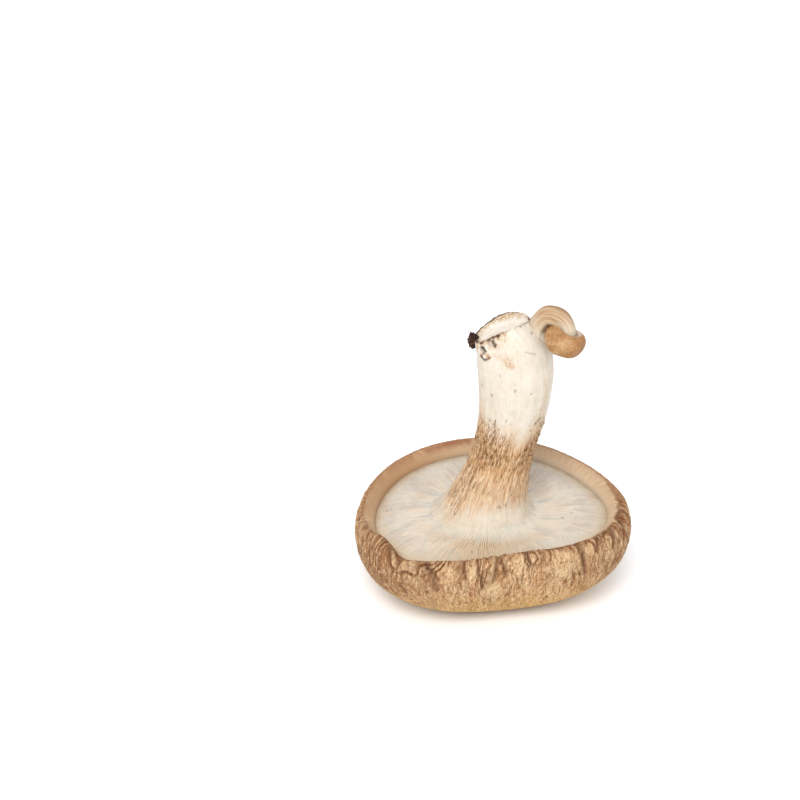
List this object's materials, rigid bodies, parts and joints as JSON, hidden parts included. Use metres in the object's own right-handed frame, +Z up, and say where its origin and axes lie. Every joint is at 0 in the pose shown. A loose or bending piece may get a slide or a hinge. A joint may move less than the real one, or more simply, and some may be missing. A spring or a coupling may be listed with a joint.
{
  "type": "shiitake mushroom",
  "caption": "Fresh shiitake mushroom resting upside down on its domed cap, with wrinkled brown skin, pale gills, a thick upright stem and a tiny side mushroom at its cut end.",
  "frame": {"origin": "centre of the small flat spot on the crown of the cap, which the mushroom rests on", "axes": "+Z up, from the crown towards the stem's cut end; +X towards the side that the tiny mushroom grows on; +Y to the back"},
  "size_m": [0.071, 0.0623, 0.0787],
  "materials": {
    "cap_skin": "matte",
    "gill_flesh": "matte",
    "stem_flesh": "matte",
    "pin_cap_skin": "matte"
  },
  "bodies": {
    "root": {"cap": "cap_skin", "gills": "gill_flesh", "stem": "stem_flesh", "pin_cap": "pin_cap_skin"}
  },
  "joints": []
}
